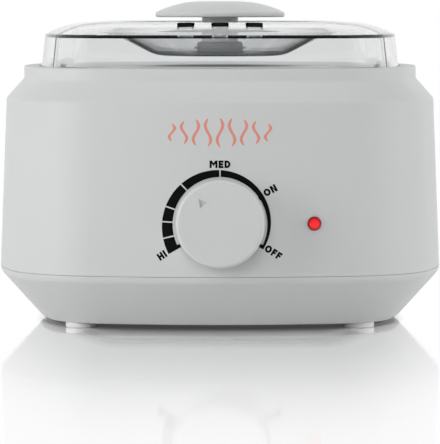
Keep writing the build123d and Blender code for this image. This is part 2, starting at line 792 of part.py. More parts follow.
def lid_knob_cap():
    """Low domed cap of the lid's knob, hollow underneath round its stem socket."""
    top = cap_under_z + cap_height
    run = cap_radius - cap_flat_radius
    edge = (cap_radius, top - cap_crown_radius + sqrt(cap_crown_radius**2 - run**2))
    face = make_face(Curve() + [
        Line((0, cap_under_z), (cap_radius, cap_under_z)),
        Line((cap_radius, cap_under_z), edge),
        TangentArc(edge, (cap_flat_radius, top), tangent=(1, 0), tangent_from_first=False),
        Line((cap_flat_radius, top), (0, top)),
        Line((0, top), (0, cap_under_z))])
    for corner in (edge, (cap_radius, cap_under_z)):
        face = fillet(face.vertices().sort_by_distance((*corner, 0))[0], cap_edge_round)
    cap = revolve(Plane.XZ * face, Axis.Z)
    cap -= tube(stem_radius + cap_wall, cap_radius - cap_wall, cap_under_z - 1, cap_under_z + cap_hollow)
    socket = stem_radius + small_clearance
    return cap - rod((0, 0, cap_under_z - 1), (0, 0, cap_under_z + cap_socket_depth), socket)


def lid_knob_stem():
    """Stem that stands on the dish's raised seat and carries the cap."""
    top = cap_under_z + cap_socket_depth - small_clearance
    stem = turned([(0, seat_z), (stem_radius, seat_z), (stem_radius, top, 0.5), (0, top)])
    tip = seat_under_z - washer_thickness + lid_screw_length
    return stem - rod((0, 0, seat_z - 1), (0, 0, tip + 1), lid_screw_radius + thread_clearance)


def lid_knob_collar():
    """Collar round the foot of the stem, with a thin flange."""
    bore = stem_radius + small_clearance
    low = dish_floor_z + collar_flange_rise
    high = low + collar_flange_thickness
    return turned([
        (bore, dish_floor_z), (collar_radius, dish_floor_z), (collar_radius, low),
        (collar_flange_radius, low), (collar_flange_radius, high), (collar_radius, high),
        (collar_radius, collar_top_z, collar_round), (bore, collar_top_z)])


def lid_washer():
    """Flat washer under the dish's raised seat."""
    inner = lid_screw_radius + hole_clearance
    return tube(inner, washer_radius, seat_under_z - washer_thickness, seat_under_z)


def lid_screw():
    """Screw up through the dish into the stem."""
    screw = pan_screw(lid_screw_head_radius, lid_screw_head_height, lid_screw_radius, lid_screw_length)
    return Pos(0, 0, seat_under_z - washer_thickness) * Rot(180, 0, 0) * screw


# ---------------------------------------------------------------- dial and lamp
def thermostat():
    """Thermostat against its pad inside the front wall: body, threaded bush and two terminal tabs."""
    body = Box(thermostat_width, thermostat_height, thermostat_depth,
               align=(Align.CENTER, Align.CENTER, Align.MAX))
    body = fillet(body.edges().filter_by(Axis.Z), 2.0)
    body = Pos(0, 0, panel_face) * body + rod((0, 0, panel_face - 1), (0, 0, bush_end), bush_radius)
    bore = spindle_radius + turning_clearance
    body -= rod((0, 0, panel_face - spindle_depth - seat_clearance), (0, 0, bush_end + 1), bore)
    tab_z = panel_face - thermostat_tab_depth
    for side in (-1, 1):
        x = side * way_pitch
        low = -thermostat_height / 2 - thermostat_tab_length
        body += block((x - tab_width / 2, low, tab_z - tab_thickness / 2),
                      (x + tab_width / 2, 1 - thermostat_height / 2, tab_z + tab_thickness / 2))
    return front * body


def thermostat_nut():
    """Nut that holds the thermostat's bush, hidden behind the knob."""
    nut = hexagon(nut_across_flats, nut_seat, nut_seat + nut_thickness)
    return front * (nut - rod((0, 0, nut_seat - 1), (0, 0, bush_end), bush_radius + thread_clearance))


def flatted(radius, low, high):
    """Round bar with a flat on its upper side, in the dial's own frame."""
    bar = rod((0, 0, low), (0, 0, high), radius)
    return bar - block((-radius, radius - spindle_flat_depth, low - 1), (radius, radius + 1, high + 1))


def thermostat_spindle():
    """Control spindle, with a flat on the part inside the knob."""
    spindle = rod((0, 0, panel_face - spindle_depth), (0, 0, bush_end + seat_clearance), spindle_radius)
    return front * (spindle + flatted(spindle_radius, bush_end, spindle_end))


def control_knob():
    """Hollow turned knob with a hub on the spindle and a pointer sunk into its face."""
    hub_back = bush_end + 2 * seat_clearance
    knob = turned([
        (0, hub_back), (knob_hub_radius, hub_back), (knob_hub_radius, knob_recess),
        (knob_face_radius - knob_wall, knob_recess, 1.0), (knob_base_radius - knob_wall, knob_back),
        (knob_base_radius, knob_back, 0.3), (knob_face_radius, knob_face, knob_face_round), (0, knob_face)])
    knob -= flatted(spindle_radius + thread_clearance, hub_back - 1, knob_recess)
    tail = pointer_tip_radius - pointer_length
    pointer = make_face(Polyline(
        (pointer_tip_radius, 0), (tail, pointer_width / 2), (tail, -pointer_width / 2), close=True))
    pointer = Rot(0, 0, pointer_angle) * extrude(pointer, 2 * pointer_depth)
    return front * (knob - Pos(0, 0, knob_face - pointer_depth) * pointer)


def indicator_lens():
    """Domed lens with a flange behind the wall."""
    back = lens_seat - lens_flange_thickness
    straight = lens_face + lens_proud
    top = straight + lens_dome
    face = make_face(Curve() + [
        Line((0, back), (lens_flange_radius, back)),
        Line((lens_flange_radius, back), (lens_flange_radius, lens_seat)),
        Line((lens_flange_radius, lens_seat), (lens_radius, lens_seat)),
        Line((lens_radius, lens_seat), (lens_radius, straight)),
        TangentArc((lens_radius, straight), (0, top), tangent=(1, 0), tangent_from_first=False),
        Line((0, top), (0, back))])
    return lamp_place * revolve(Plane.XZ * face, Axis.Z)


def lamp_holder():
    """Sleeve that pushes into the lamp boss behind the lens and holds the bulb."""
    high = lens_seat - lens_flange_thickness
    return lamp_place * tube(bulb_radius + small_clearance, lens_flange_radius, high - holder_length, high)


def lamp_bulb():
    """Small neon bulb with two stubs of lead at its back."""
    high = lens_seat - lens_flange_thickness - small_clearance
    low = high - bulb_length
    bulb = turned([(0, low), (bulb_radius, low, 0.5), (bulb_radius, high, 1.5), (0, high)])
    for side in (-1, 1):
        x = side * bulb_lead_x
        bulb += rod((x, 0, lamp_lead_start), (x, 0, low + 0.5), bulb_stub_radius)
    return lamp_place * bulb


# ---------------------------------------------------------------- gland, terminal block and leads
def gland_body():
    """Cable gland through the rear pad: thread, hexagon and a pocket for the seal."""
    body = hexagon(gland_across_flats, gland_seat, gland_hex_end)
    body += rod((0, 0, gland_seat - gland_inner_reach), (0, 0, gland_thread_end), gland_thread_radius)
    body -= rod((0, 0, gland_seat - gland_inner_reach - 1), (0, 0, gland_thread_end + 1), gland_bore_radius)
    return rear * (body - rod((0, 0, gland_thread_end - seal_length), (0, 0, gland_thread_end + 1),
                              seal_radius + small_clearance))


def gland_seal():
    """Rubber ring that closes round the cord."""
    return rear * tube(seal_bore_radius, seal_radius, gland_thread_end - seal_length, gland_thread_end)


def gland_locknut():
    """Nut inside the rear wall."""
    nut = hexagon(locknut_across_flats, gland_inner_face - locknut_thickness, gland_inner_face)
    hole = gland_thread_radius + thread_clearance
    return rear * (nut - rod((0, 0, gland_inner_face - locknut_thickness - 1), (0, 0, gland_seat), hole))


def gland_dome_nut():
    """Domed nut that squeezes the seal."""
    low = gland_hex_end + seat_clearance
    high = gland_hex_end + dome_length
    corner = gland_across_flats / sqrt(3) + small_clearance
    bore = gland_thread_radius + thread_clearance
    shoulder = gland_thread_end + small_clearance
    dome = turned([
        (bore, low), (corner, low), (corner, high, dome_round), (dome_mouth_radius, high, dome_mouth_round),
        (dome_mouth_radius, shoulder + dome_cone), (bore, shoulder)])
    return rear * (dome & hexagon(gland_across_flats, low, high))


def terminal_block():
    """Three-way terminal block screwed to its pad on the tray floor."""
    half = block_width / 2
    body = block((-half, block_front, block_z), (half, block_front + block_depth, block_z + block_height))
    body = fillet(body.edges().filter_by(Axis.Z), 1.0)
    for way in (-1, 0, 1):
        x = way * way_pitch
        body -= rod((x, block_front - 1, way_z), (x, block_front + block_depth + 1, way_z), way_radius)
    for side in (-1, 1):
        x = side * block_screw_x
        body -= rod((x, block_y, block_z - 1), (x, block_y, block_z + block_height + 1),
                    block_screw_radius + hole_clearance)
    return body


def block_screws():
    """Two screws that hold the terminal block."""
    screw = pan_screw(block_screw_head_radius, block_screw_head_height, block_screw_radius,
                      block_height + block_screw_bite)
    return Part() + [Pos(side * block_screw_x, block_y, block_z + block_height) * screw for side in (-1, 1)]


def heater_tab_point(angle, z):
    """Where a lead meets a terminal tab of the heater band."""
    reach = tab_end - lead_radius
    return reach * cos(radians(angle)), reach * sin(radians(angle)), z


def mains_leads():
    """Live lead to the thermostat and neutral lead to the thermal fuse."""
    start = block_front + way_bite
    live = [(-way_pitch, start, way_z), (-way_pitch, tab_y, way_z),
            (-way_pitch, tab_y, tab_low - lead_end_gap)]
    fuse_x, fuse_z = fuse_place
    neutral = [(way_pitch, start, way_z), (way_pitch, block_front - 2 * lead_bend, way_z),
               (fuse_x, 0, way_z), (fuse_x, 0, fuse_z - fuse_stub - lead_end_gap)]
    return Part() + [lead(live, lead_radius), lead(neutral, lead_radius)]


def heater_leads():
    """Thermostat to heater, and fuse to heater."""
    foot = heater_tab_point(heater_tab_angles[0], way_z)
    first = [(way_pitch, tab_y, tab_low - lead_end_gap), (way_pitch, tab_y, way_z), foot,
             (foot[0], foot[1], tab_z - lead_end_gap)]
    fuse_x, fuse_z = fuse_place
    fuse_top = fuse_z + fuse_length + fuse_stub + lead_end_gap
    over = heater_tab_point(heater_tab_angles[1], fuse_top + fuse_lead_rise)
    second = [(fuse_x, 0, fuse_top), (fuse_x, 0, over[2]), over,
              (over[0], over[1], tab_z + tab_thickness + lead_end_gap)]
    return Part() + [lead(first, lead_radius), lead(second, lead_radius)]


def lamp_leads():
    """Two thin leads from the bulb, one to the thermostat's tab and one to the block's middle way."""
    start = -lamp_lead_start + lead_end_gap
    turn = start + lead_bend + lamp_lead_radius
    level = way_z + lamp_lead_rise
    near = lamp_x - bulb_lead_x
    far = lamp_x + bulb_lead_x
    beside_tab = way_pitch + lead_radius + lamp_lead_radius + small_clearance
    first = [(near, start, lamp_height), (near, turn, lamp_height), (near, turn, level),
             (beside_tab, tab_y + 1, level)]
    second = [(far, start, lamp_height), (far, turn, lamp_height), (far, turn, level),
              (0, block_front - 4 * lead_bend, level), (0, block_front - 2 * lead_bend, way_z),
              (0, block_front + way_bite, way_z)]
    return Part() + [lead(first, lamp_lead_radius), lead(second, lamp_lead_radius)]


# ---------------------------------------------------------------- write
def save(name, shape):
    """One STEP file for each sub-part."""
    export_step(shape, f"parts/{name}.step")


os.makedirs("parts", exist_ok=True)
pot = wax_pot()
save("upper_housing", upper_housing())
save("base_tray", base_tray())
save("feet", feet())
save("base_screws", base_screws())
save("heating_well", heating_well())
save("well_gasket", well_gasket())
save("retaining_ring", retaining_ring())
save("band_heater", band_heater())
save("heater_clamp", heater_clamp())
save("thermal_fuse", thermal_fuse())
save("fuse_clip", fuse_clip())
save("heat_shield", heat_shield())
save("shield_screws", shield_screws())
save("thermostat", thermostat())
save("thermostat_nut", thermostat_nut())
save("indicator_lens", indicator_lens())
save("lamp_holder", lamp_holder())
save("lamp_bulb", lamp_bulb())
save("gland_body", gland_body())
save("gland_seal", gland_seal())
save("gland_locknut", gland_locknut())
save("gland_dome_nut", gland_dome_nut())
save("terminal_block", terminal_block())
save("block_screws", block_screws())
save("mains_leads", mains_leads())
save("heater_leads", heater_leads())
save("lamp_leads", lamp_leads())
save("control_knob", control_knob())
save("thermostat_spindle", thermostat_spindle())
save("wax_pot", pot)
save("bail_studs", bail_studs(pot))
save("bail", bail())
save("lid_shell", lid_shell())
save("lid_knob_cap", lid_knob_cap())
save("lid_knob_stem", lid_knob_stem())
save("lid_knob_collar", lid_knob_collar())
save("lid_washer", lid_washer())
save("lid_screw", lid_screw())
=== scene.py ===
from math import atan, cos, pi, radians, sin

import bmesh
import bpy
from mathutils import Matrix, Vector
from mathutils.bvhtree import BVHTree


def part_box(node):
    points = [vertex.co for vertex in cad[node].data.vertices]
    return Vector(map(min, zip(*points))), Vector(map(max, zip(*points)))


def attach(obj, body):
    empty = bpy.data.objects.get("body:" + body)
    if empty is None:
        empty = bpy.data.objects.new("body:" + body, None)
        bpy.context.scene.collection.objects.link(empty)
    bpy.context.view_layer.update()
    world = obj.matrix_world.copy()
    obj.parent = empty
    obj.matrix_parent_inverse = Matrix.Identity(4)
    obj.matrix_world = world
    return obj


# Electric wax warmer: squarish moulded housing on a chamfered tray, heated well with a lift-out
# pot, clear lid with a finger dish and a domed knob, a dial and a lamp on the front.
# Metres, +Z up, the front faces -Y.
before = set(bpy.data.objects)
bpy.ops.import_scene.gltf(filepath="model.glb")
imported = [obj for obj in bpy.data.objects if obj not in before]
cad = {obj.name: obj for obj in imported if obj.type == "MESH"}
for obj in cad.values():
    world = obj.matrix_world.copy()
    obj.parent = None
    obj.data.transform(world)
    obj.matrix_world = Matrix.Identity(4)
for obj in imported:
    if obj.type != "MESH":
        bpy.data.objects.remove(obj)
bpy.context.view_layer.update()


# ---------------------------------------------------------------- the view
# A long lens a little above the lid's knob, tipped down so that the table runs up to the skyline
# just over the picture's top edge.
picture_height = 444
focal_pixels = 3875.0
skyline_row = -5.0
camera_distance = 1.637
camera_height = 0.13555

camera_data = bpy.data.cameras.new("camera")
camera_data.sensor_width = 36.0
camera_data.lens = camera_data.sensor_width * focal_pixels / picture_height
camera_data.clip_end = 50.0
camera = bpy.data.objects.new("camera", camera_data)
camera.location = (0.0, -camera_distance, camera_height)
tip = atan((picture_height / 2 - skyline_row) / focal_pixels)
camera.rotation_euler = (pi / 2 - tip, 0.0, 0.0)
bpy.context.scene.collection.objects.link(camera)
bpy.context.scene.camera = camera
bpy.context.scene.view_settings.view_transform = "Standard"


# ---------------------------------------------------------------- table and backdrop
# A glossy white acrylic table: a painted shadow darkens it where the base stands close over it, then a soft
# mirror that fades towards the viewer into plain white. The room is white all round, and mirrored dim at the
# front.
def node(tree, kind, inputs, **settings):
    """Adds a shader node; inputs holds plain values or the sockets that feed it."""
    new = tree.nodes.new(kind)
    for name, value in settings.items():
        setattr(new, name, value)
    for name, value in inputs.items():
        if isinstance(value, bpy.types.NodeSocket):
            tree.links.new(value, new.inputs[name])
        else:
            new.inputs[name].default_value = value
    return new


def reckon(tree, operation, first, second=0.0):
    """Result of a sum on one or two values."""
    return node(tree, "ShaderNodeMath", {0: first, 1: second}, operation=operation).outputs[0]


def times(tree, first, second):
    """Product of two values."""
    return reckon(tree, "MULTIPLY", first, second)


def greater(tree, first, second):
    """The greater of two values."""
    return reckon(tree, "MAXIMUM", first, second)


def vector(tree, operation, first, second=(0.0, 0.0, 0.0)):
    """Result of a vector operation on two vectors."""
    return node(tree, "ShaderNodeVectorMath", {0: first, 1: second}, operation=operation).outputs[0]


def length(tree, line):
    """Length of a vector."""
    return node(tree, "ShaderNodeVectorMath", {0: line}, operation="LENGTH").outputs["Value"]


def object_place(tree):
    """Place on the piece, in metres."""
    return node(tree, "ShaderNodeTexCoord", {}).outputs["Object"]


def grey(level):
    """Neutral colour of one level."""
    return (level, level, level, 1.0)


def seen_directly(tree):
    """1 for rays from the eye, from a mirror or through glass, 0 for light that falls on things."""
    path = node(tree, "ShaderNodeLightPath", {}).outputs
    mirrored = greater(tree, path["Is Camera Ray"], path["Is Glossy Ray"])
    return greater(tree, mirrored, path["Is Transmission Ray"])


def ramp(tree, value, start, end, low, high):
    """Soft step from low to high while the value goes from start to end."""
    return node(tree, "ShaderNodeMapRange", {
        "Value": value, "From Min": start, "From Max": end, "To Min": low, "To Max": high},
        interpolation_type="SMOOTHSTEP").outputs[0]


table_radius = 6.0
table_segments = 64
mirror_roughness = 0.055
# The outline of the base is a square with round corners: their centre, and their radius.
base_corner = (0.0165, 0.0165, 1.0)
base_round = 0.060
# What the table shows, by the distance outwards from that outline: its mirror share, and the painted shadow
# near the base.
gloss_at_base = 0.28
gloss_beside = 0.66
gloss_from = 0.015
gloss_to = 0.045
gloss_far = 0.10
gloss_end = 0.43
# Painted shadow near the base: the paper's colour there and away, and the share of white it lets through.
paper_in_painted_shadow = 0.05
paper_away = 0.85
shade_from = -0.030
shade_to = 0.040
white_from = 0.030
white_to = 0.085
white_in_painted_shadow = 0.065
# At the left and right the table turns white sooner, with a narrower painted shadow, as if it lay this much
# further out.
edge_from = -0.012
edge_to = 0.008
side_from = 0.040
side_to = 0.085
side_shift = 0.115

table_mesh = bpy.data.meshes.new("table")
edit = bmesh.new()
bmesh.ops.create_circle(edit, cap_ends=True, segments=table_segments, radius=table_radius)
edit.to_mesh(table_mesh)
edit.free()
table = bpy.data.objects.new("table", table_mesh)
bpy.context.scene.collection.objects.link(table)

acrylic = bpy.data.materials.new("white_acrylic")
acrylic.use_nodes = True
tree = acrylic.node_tree
tree.nodes.remove(tree.nodes["Principled BSDF"])
folded = vector(tree, "ABSOLUTE", object_place(tree))
outside = vector(tree, "MAXIMUM", vector(tree, "SUBTRACT", folded, base_corner))
reach = length(tree, outside)
near = reckon(tree, "SUBTRACT", reach, base_round)
aside = node(tree, "ShaderNodeSeparateXYZ", {"Vector": folded}).outputs["X"]
beside = times(tree, ramp(tree, near, edge_from, edge_to, 0.0, 1.0),
               ramp(tree, aside, side_from, side_to, 0.0, side_shift))
far = reckon(tree, "ADD", near, beside)
gloss = times(tree, ramp(tree, far, gloss_from, gloss_to, gloss_at_base, gloss_beside),
              ramp(tree, far, gloss_to, gloss_end, 1.0, gloss_far / gloss_beside))
direct = seen_directly(tree)
clean = node(tree, "ShaderNodeBsdfDiffuse", {"Color": grey(paper_away)})
# Paper with a painted shadow: its colour goes dark near the base, on top of the real shadow it takes.
painted_shadow_paper = node(tree, "ShaderNodeBsdfDiffuse", {
    "Color": ramp(tree, far, shade_from, shade_to, paper_in_painted_shadow, paper_away)})
white = node(tree, "ShaderNodeEmission", {"Color": grey(1.0), "Strength": 1.0})
mirror = node(tree, "ShaderNodeBsdfGlossy", {"Color": grey(1.0), "Roughness": mirror_roughness})
base = node(tree, "ShaderNodeMixShader", {
    0: ramp(tree, far, white_from, white_to, white_in_painted_shadow, 1.0), 1: painted_shadow_paper.outputs[0], 2: white.outputs[0]})
glossy = node(tree, "ShaderNodeMixShader", {0: gloss, 1: base.outputs[0], 2: mirror.outputs[0]})
top = node(tree, "ShaderNodeMixShader", {0: direct, 1: clean.outputs[0], 2: glossy.outputs[0]})
tree.links.new(top.outputs[0], tree.nodes["Material Output"].inputs["Surface"])
table_mesh.materials.append(acrylic)

room_strength = 0.17
dim_part = 0.20
dim_from = -0.75
dim_to = -0.15
world = bpy.data.worlds.new("studio")
world.use_nodes = True
bpy.context.scene.world = world
tree = world.node_tree
towards = node(tree, "ShaderNodeTexCoord", {}).outputs["Generated"]
sideways = node(tree, "ShaderNodeSeparateXYZ", {"Vector": towards}).outputs["Y"]
shade = ramp(tree, sideways, dim_from, dim_to, dim_part, 1.0)
room_light = node(tree, "ShaderNodeBackground", {
    "Color": grey(1.0), "Strength": times(tree, shade, room_strength)})
by_eye = node(tree, "ShaderNodeLightPath", {}).outputs["Is Camera Ray"]
room_seen = node(tree, "ShaderNodeBackground", {"Color": grey(1.0), "Strength": greater(tree, shade, by_eye)})
room = node(tree, "ShaderNodeMixShader", {
    0: seen_directly(tree), 1: room_light.outputs[0], 2: room_seen.outputs[0]})
tree.links.new(room.outputs[0], tree.nodes["World Output"].inputs["Surface"])


# ---------------------------------------------------------------- lamps
# Five soft boxes, at both sides, above, in front and behind. The left one is the strongest. They light
# the object, but aren't seen in its gloss or through its lid.
def soft_box(name, place, size, power):
    """Square area lamp that looks at the middle of the warmer."""
    data = bpy.data.lights.new(name, "AREA")
    data.size = size
    data.energy = power
    lamp = bpy.data.objects.new(name, data)
    lamp.location = place
    lamp.rotation_euler = (lamp_target - Vector(place)).to_track_quat("-Z", "Y").to_euler()
    lamp.visible_glossy = False
    lamp.visible_transmission = False
    bpy.context.scene.collection.objects.link(lamp)


lamp_target = Vector((0.0, 0.0, 0.06))
box_size = 1.0
top_size = 1.2
left_power = 14.6
right_power = 11.0
top_power = 4.0
front_power = 12.2
back_power = 10.0
soft_box("left_box", (-1.5, -0.8, 0.5), box_size, left_power)
soft_box("right_box", (1.6, -0.3, 0.5), box_size, right_power)
soft_box("top_box", (0.0, -0.3, 1.7), top_size, top_power)
soft_box("front_box", (-0.3, -2.3, 0.9), box_size, front_power)
soft_box("back_box", (0.3, 2.0, 1.3), box_size, back_power)


# ---------------------------------------------------------------- housing and tray
# Two mouldings in very light grey ABS, lapped at the parting line and held by screws from below.
# The moulds leave a fine even grain, a slow drift of shade and slightly uneven gloss.
def named_group(name, inputs, outputs, kind="ShaderNodeTree"):
    """Empty node group with named sockets, and its input and output nodes."""
    group = bpy.data.node_groups.new(name, kind)
    for label, kind in inputs.items():
        group.interface.new_socket(name=label, in_out="INPUT", socket_type=kind)
    for label, kind in outputs.items():
        group.interface.new_socket(name=label, in_out="OUTPUT", socket_type=kind)
    return group, group.nodes.new("NodeGroupInput"), group.nodes.new("NodeGroupOutput")


def about_middle(tree, value, spread, middle):
    """middle + (value - 0.5) * spread."""
    centred = reckon(tree, "SUBTRACT", value, 0.5)
    return node(tree, "ShaderNodeMath", {0: centred, 1: spread, 2: middle},
                operation="MULTIPLY_ADD").outputs[0]


def shaded(tree, colour, shade):
    """Colour made lighter or darker by a factor."""
    return node(tree, "ShaderNodeVectorMath", {0: colour, "Scale": shade}, operation="SCALE").outputs[0]


def per_metre(tree, size):
    """Scale of a pattern whose features have this size."""
    return reckon(tree, "DIVIDE", 1.0, size)


def noise(tree, place, scale, detail):
    """Value of a noise pattern."""
    pattern = node(tree, "ShaderNodeTexNoise", {"Vector": place, "Scale": scale, "Detail": detail})
    return pattern.outputs["Fac"]


def bent_normal(tree, depth, height):
    """Normal bent by a height pattern of this depth."""
    bump = node(tree, "ShaderNodeBump", {"Strength": 1.0, "Distance": depth, "Height": height})
    return bump.outputs["Normal"]


def put_out(group, result, **values):
    """Links each value to the group's output of that name."""
    for label, value in values.items():
        group.links.new(value, result.inputs[label])


def make_moulded_skin():
    """Group: the skin of a moulded piece, from its colour, gloss and grain."""
    number = "NodeSocketFloat"
    group, given, result = named_group("moulded_skin", {
        "Colour": "NodeSocketColor", "Drift": number, "Roughness": number, "Gloss Spread": number,
        "Grain Size": number, "Grain Depth": number}, {
        "Colour": "NodeSocketColor", "Roughness": number, "Normal": "NodeSocketVector"})
    given = given.outputs
    place = object_place(group)
    shade = about_middle(group, noise(group, place, drift_scale, 2.0), given["Drift"], 1.0)
    patchy = noise(group, place, patch_scale, 3.0)
    grain = noise(group, place, per_metre(group, given["Grain Size"]), 2.0)
    put_out(group, result, Colour=shaded(group, given["Colour"], shade),
            Roughness=about_middle(group, patchy, given["Gloss Spread"], given["Roughness"]),
            Normal=bent_normal(group, given["Grain Depth"], grain))
    return group


drift_scale = 14.0
patch_scale = 160.0
moulded_skin = make_moulded_skin()


def finish_material(name, group, settings, **plain):
    """Material that takes colour, roughness and normal from a group, and the rest as plain numbers."""
    material = bpy.data.materials.new(name)
    material.use_nodes = True
    tree = material.node_tree
    shader = tree.nodes["Principled BSDF"]
    skin = node(tree, "ShaderNodeGroup", {}, node_tree=group)
    for label, value in settings.items():
        skin.inputs[label].default_value = value
    tree.links.new(skin.outputs["Colour"], shader.inputs["Base Color"])
    tree.links.new(skin.outputs["Roughness"], shader.inputs["Roughness"])
    tree.links.new(skin.outputs["Normal"], shader.inputs["Normal"])
    for label, value in plain.items():
        shader.inputs[label.replace("_", " ")].default_value = value
    return material


def dress(material, *names):
    """Gives CAD nodes their finished material."""
    for name in names:
        slots = cad[name].data.materials
        slots.clear()
        slots.append(material)


housing_plastic = finish_material("housing_plastic", moulded_skin, {
    "Colour": (0.70, 0.715, 0.71, 1.0), "Drift": 0.03, "Roughness": 0.42, "Gloss Spread": 0.10,
    "Grain Size": 0.0005, "Grain Depth": 0.00001}, IOR=1.5)
dress(housing_plastic, "upper_housing", "base_tray")


# ---------------------------------------------------------------- feet and base screws
# Four soft white rubber feet with plugs, pushed into the tray's recesses over the base screws.
# The screws are zinc-plated steel, as are the other small fasteners and the dial's spindle.
foot_rubber = finish_material("foot_rubber", moulded_skin, {
    "Colour": (0.86, 0.86, 0.85, 1.0), "Drift": 0.04, "Roughness": 0.6, "Gloss Spread": 0.1,
    "Grain Size": 0.0006, "Grain Depth": 0.00002}, IOR=1.48)
dress(foot_rubber, "feet")


def make_plated_skin():
    """Group: zinc-plated or galvanised steel, with spangles of slightly different shade and gloss."""
    number = "NodeSocketFloat"
    group, given, result = named_group("plated_skin", {
        "Colour": "NodeSocketColor", "Drift": number, "Roughness": number, "Gloss Spread": number,
        "Spangle Size": number, "Scratch Depth": number}, {
        "Colour": "NodeSocketColor", "Roughness": number, "Normal": "NodeSocketVector"})
    given = given.outputs
    place = object_place(group)
    cells = node(group, "ShaderNodeTexVoronoi", {
        "Vector": place, "Scale": per_metre(group, given["Spangle Size"])})
    level = node(group, "ShaderNodeSeparateColor", {"Color": cells.outputs["Color"]}).outputs
    shade = about_middle(group, level["Red"], given["Drift"], 1.0)
    long_way = node(group, "ShaderNodeMapping", {"Vector": place, "Scale": scratch_scale}).outputs[0]
    scratches = noise(group, long_way, 1.0, 3.0)
    put_out(group, result, Colour=shaded(group, given["Colour"], shade),
            Roughness=about_middle(group, level["Green"], given["Gloss Spread"], given["Roughness"]),
            Normal=bent_normal(group, given["Scratch Depth"], scratches))
    return group


scratch_scale = (200.0, 5000.0, 5000.0)
plated_skin = make_plated_skin()
zinc = finish_material("zinc_plated_steel", plated_skin, {
    "Colour": (0.62, 0.64, 0.66, 1.0), "Drift": 0.12, "Roughness": 0.32, "Gloss Spread": 0.12,
    "Spangle Size": 0.0012, "Scratch Depth": 0.000004}, Metallic=1.0)
dress(zinc, "base_screws", "heater_clamp", "shield_screws", "block_screws", "lid_screw", "lid_washer",
      "bail_studs", "thermostat_nut", "thermostat_spindle")


# ---------------------------------------------------------------- printed scale
# Black ink on the front wall round the dial: a band that widens from OFF to HI, cut by thin gaps,
# with four short ticks inside it and a word beside each.
scale_height = 0.04395
band_inner = 0.01895
band_outer = (0.0199, 0.0237)
band_angles = (-30.0, 210.0)
band_gaps = (90.0, 134.0, 161.5, 177.2, 193.8)
gap_half_width = 0.00028
tick_angles = (-30.0, 33.5, 90.0, 210.0)
tick_length = 0.0012
tick_half_width = 0.00075
block_angle = 3.0
ink_height = 0.00005
before_wall = -0.2
wall = BVHTree.FromObject(cad["upper_housing"], bpy.context.evaluated_depsgraph_get())


def on_dial(angle, radius, aside=0.0):
    """Point on the front at an angle and radius round the scale's middle, moved aside along the circle."""
    turn = radians(angle)
    return (radius * cos(turn) - aside * sin(turn), scale_height + radius * sin(turn) + aside * cos(turn))


def print_on_wall(name, outlines, ink):
    """Lays flat outlines of (x, z) corners on the front wall as a film of ink that rides on the housing."""
    edit = bmesh.new()
    for outline in outlines:
        corners = []
        for x, z in outline:
            hit = wall.ray_cast(Vector((x, before_wall, z)), Vector((0.0, 1.0, 0.0)))[0]
            corners.append(edit.verts.new((x, hit.y - ink_height, z)))
        face = edit.faces.new(corners)
        face.normal_update()
        if face.normal.y > 0:
            face.normal_flip()
    mesh = bpy.data.meshes.new(name)
    edit.to_mesh(mesh)
    edit.free()
    mesh.materials.append(ink)
    piece = bpy.data.objects.new(name, mesh)
    bpy.context.scene.collection.objects.link(piece)
    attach(piece, "housing")


def outer_at(angle):
    """The band's outer radius, which grows evenly with the angle."""
    share = (angle - band_angles[0]) / (band_angles[1] - band_angles[0])
    return band_outer[0] + share * (band_outer[1] - band_outer[0])


def band_outlines():
    """The band's short blocks and its ticks."""
    outlines = []
    edges = [band_angles[0], *band_gaps, band_angles[1]]
    for start, end in zip(edges[:-1], edges[1:]):
        steps = max(2, round((end - start) / block_angle))
        for i in range(steps):
            a, b = start + (end - start) * i / steps, start + (end - start) * (i + 1) / steps
            before = gap_half_width if i == 0 and start in band_gaps else 0.0
            after = -gap_half_width if i == steps - 1 and end in band_gaps else 0.0
            outlines.append([on_dial(a, band_inner, before), on_dial(a, outer_at(a), before),
                             on_dial(b, outer_at(b), after), on_dial(b, band_inner, after)])
    low = band_inner - tick_length
    for angle in tick_angles:
        side = (-tick_half_width, tick_half_width)
        side = (0.0, 2 * tick_half_width) if angle == band_angles[0] else side
        side = (-2 * tick_half_width, 0.0) if angle == band_angles[1] else side
        outlines.append([on_dial(angle, low, side[0]), on_dial(angle, band_inner, side[0]),
                         on_dial(angle, band_inner, side[1]), on_dial(angle, low, side[1])])
    return outlines


def bowl_of(x, half_width, height, stroke, start, end):
    """Part of an oval letter stroke, as short blocks from one angle to another."""
    middle = height / 2
    points = []
    for i in range(bowl_steps + 1):
        turn = radians(start + (end - start) * i / bowl_steps)
        outer = (x + half_width * cos(turn), middle * (1 + sin(turn)))
        inner = (x + (half_width - stroke) * cos(turn), middle + (middle - stroke) * sin(turn))
        points.append((outer, inner))
    return [[a, b, d, c] for (a, b), (c, d) in zip(points[:-1], points[1:])]


def capital(letter, width, height, stroke):
    """Outlines of one plain bold capital, from its lower left corner."""
    def bar(x0, y0, x1, y1):
        return [(x0, y0), (x1, y0), (x1, y1), (x0, y1)]

    left = bar(0, 0, stroke, height)
    right = bar(width - stroke, 0, width, height)
    top_bar = bar(stroke, height - stroke, width, height)
    low_bar = bar(stroke, 0, width, stroke)
    middle = (height - stroke) / 2
    slant = slant_share * stroke
    inside = width - stroke
    if letter == "I":
        return [left]
    if letter == "H":
        return [left, right, bar(stroke, middle, inside, middle + stroke)]
    if letter == "F":
        return [left, top_bar, bar(stroke, middle, f_arm * width, middle + stroke)]
    if letter == "E":
        return [left, top_bar, low_bar, bar(stroke, middle, e_arm * width, middle + stroke)]
    if letter == "N":
        return [left, right, [(stroke, height), (stroke, height - slant), (inside, 0), (inside, slant)]]
    if letter == "M":
        foot = m_foot * height
        point = [(width / 2, foot), (width / 2, foot + slant)]
        return [left, right, [(stroke, height), (stroke, height - slant), *point],
                [(inside, height), (inside, height - slant), *point]]
    if letter == "D":
        half = d_bowl * width
        bowl_x = width - half
        return [left, bar(stroke, height - stroke, bowl_x, height), bar(stroke, 0, bowl_x, stroke),
                *bowl_of(bowl_x, half, height, stroke, -90, 90)]
    return bowl_of(width / 2, width / 2, height, stroke, 0, 360)


